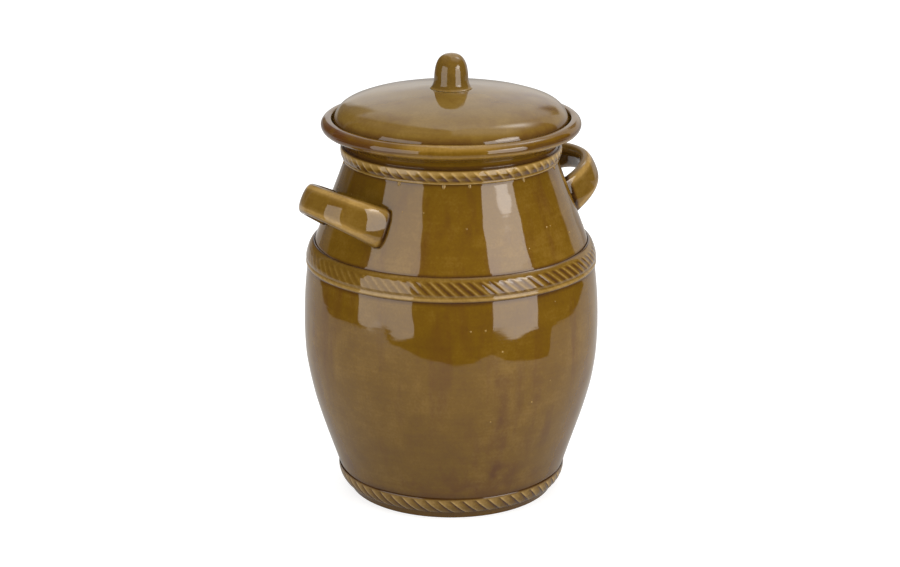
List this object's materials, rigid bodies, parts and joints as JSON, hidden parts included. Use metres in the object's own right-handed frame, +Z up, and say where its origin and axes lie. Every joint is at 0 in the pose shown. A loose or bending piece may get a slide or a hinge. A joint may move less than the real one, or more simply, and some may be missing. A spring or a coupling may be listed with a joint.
{
  "type": "fermentation crock",
  "caption": "Thrown stoneware crock with rope-twist bands, strap handles, a domed lift-off lid with a knob, and half-moon weights, for fermenting vegetables in brine.",
  "frame": {"origin": "on the crock's axis, at the height of the foot ring's standing face", "axes": "+Z up along the axis of the crock; the handles lie on the X axis, the right handle on +X; -Y is the front"},
  "size_m": [0.2712, 0.24, 0.3614],
  "materials": {
    "body_glaze": "glossy honey-brown glaze with pinholes and brown streaks",
    "rope_glaze": "glossy glaze, pale gold on the crests and dark brown in the grooves",
    "handle_glaze": "glossy honey-brown glaze, paler on the edges",
    "lid_glaze": "glossy olive-brown glaze, reddish towards the edge",
    "knob_glaze": "glossy olive-brown glaze",
    "bare_clay": "unglazed fired clay",
    "weight_clay": "unglazed fired clay"
  },
  "bodies": {
    "crock": {"crock_body": "body_glaze", "foot_rope": "rope_glaze", "shoulder_rope": "rope_glaze", "neck_rope": "rope_glaze", "left_handle": "handle_glaze", "right_handle": "handle_glaze"},
    "lid": {"lid_dome": "lid_glaze", "lid_knob": "knob_glaze", "lid_flange": "bare_clay"},
    "front_half_weight": {"front_weight": "weight_clay"},
    "rear_half_weight": {"rear_weight": "weight_clay"}
  },
  "joints": [
    {"name": "lid_lift", "type": "slide", "parent": "crock", "child": "lid", "axis": [0, 0, 1], "range_m": [0, 0.15]},
    {"name": "front_weight_lift", "type": "slide", "parent": "crock", "child": "front_half_weight", "axis": [0, 0, 1], "range_m": [0, 0.25]},
    {"name": "rear_weight_lift", "type": "slide", "parent": "crock", "child": "rear_half_weight", "axis": [0, 0, 1], "range_m": [0, 0.25]}
  ]
}
